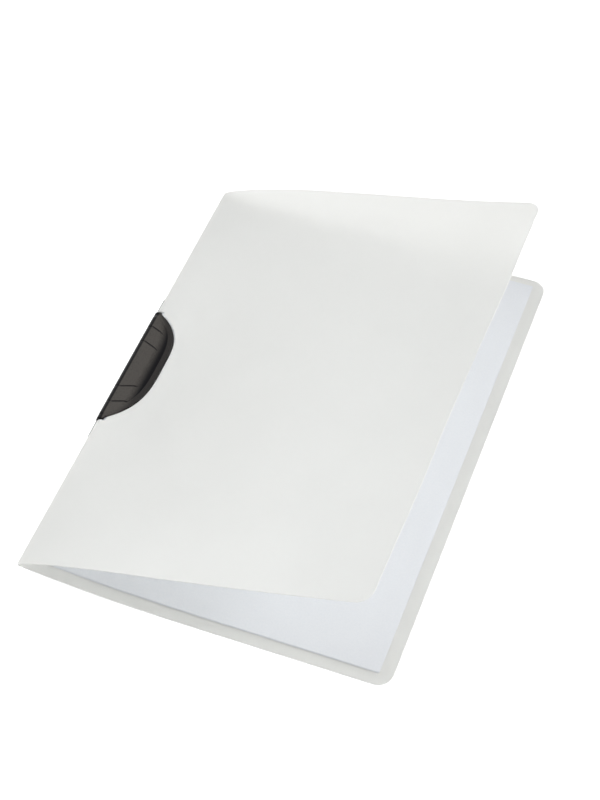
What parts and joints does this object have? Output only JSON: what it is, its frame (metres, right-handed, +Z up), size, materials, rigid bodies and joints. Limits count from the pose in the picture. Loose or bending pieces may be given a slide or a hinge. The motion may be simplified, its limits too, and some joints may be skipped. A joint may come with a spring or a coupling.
{
  "type": "clip folder",
  "caption": "A4 clip folder: a creased sheet of frosted plastic standing a little open over a thin paper stack, with a half-moon swing lever at mid-spine.",
  "frame": {"origin": "middle of the underside of the whole object as it lies, with the front cover standing open", "axes": "+Z up, +Y along the crease, +X from the crease towards the free edges"},
  "size_m": [0.221, 0.31, 0.0779],
  "materials": {
    "frosted_sheet": "frosted translucent polypropylene, fine matt grain",
    "paper": "uncoated white office paper",
    "black_moulding": "satin black, fine moulded grain"
  },
  "bodies": {
    "folder": {"back_cover": "frosted_sheet", "paper_stack": "paper", "clip_base": "black_moulding"},
    "front_cover": {"front_cover": "frosted_sheet"},
    "clip_lever": {"clip_lever": "black_moulding"}
  },
  "joints": [
    {"name": "cover_crease", "type": "hinge", "parent": "folder", "child": "front_cover", "pos_m": [-0.10919, 0, 0.00731], "axis": [0, -1, 0], "range_deg": [-8.5, 158]},
    {"name": "lever_hinge", "type": "hinge", "parent": "folder", "child": "clip_lever", "pos_m": [-0.10889, -0.0006, 0.0054], "axis": [0, -1, 0], "range_deg": [0, 170]}
  ]
}
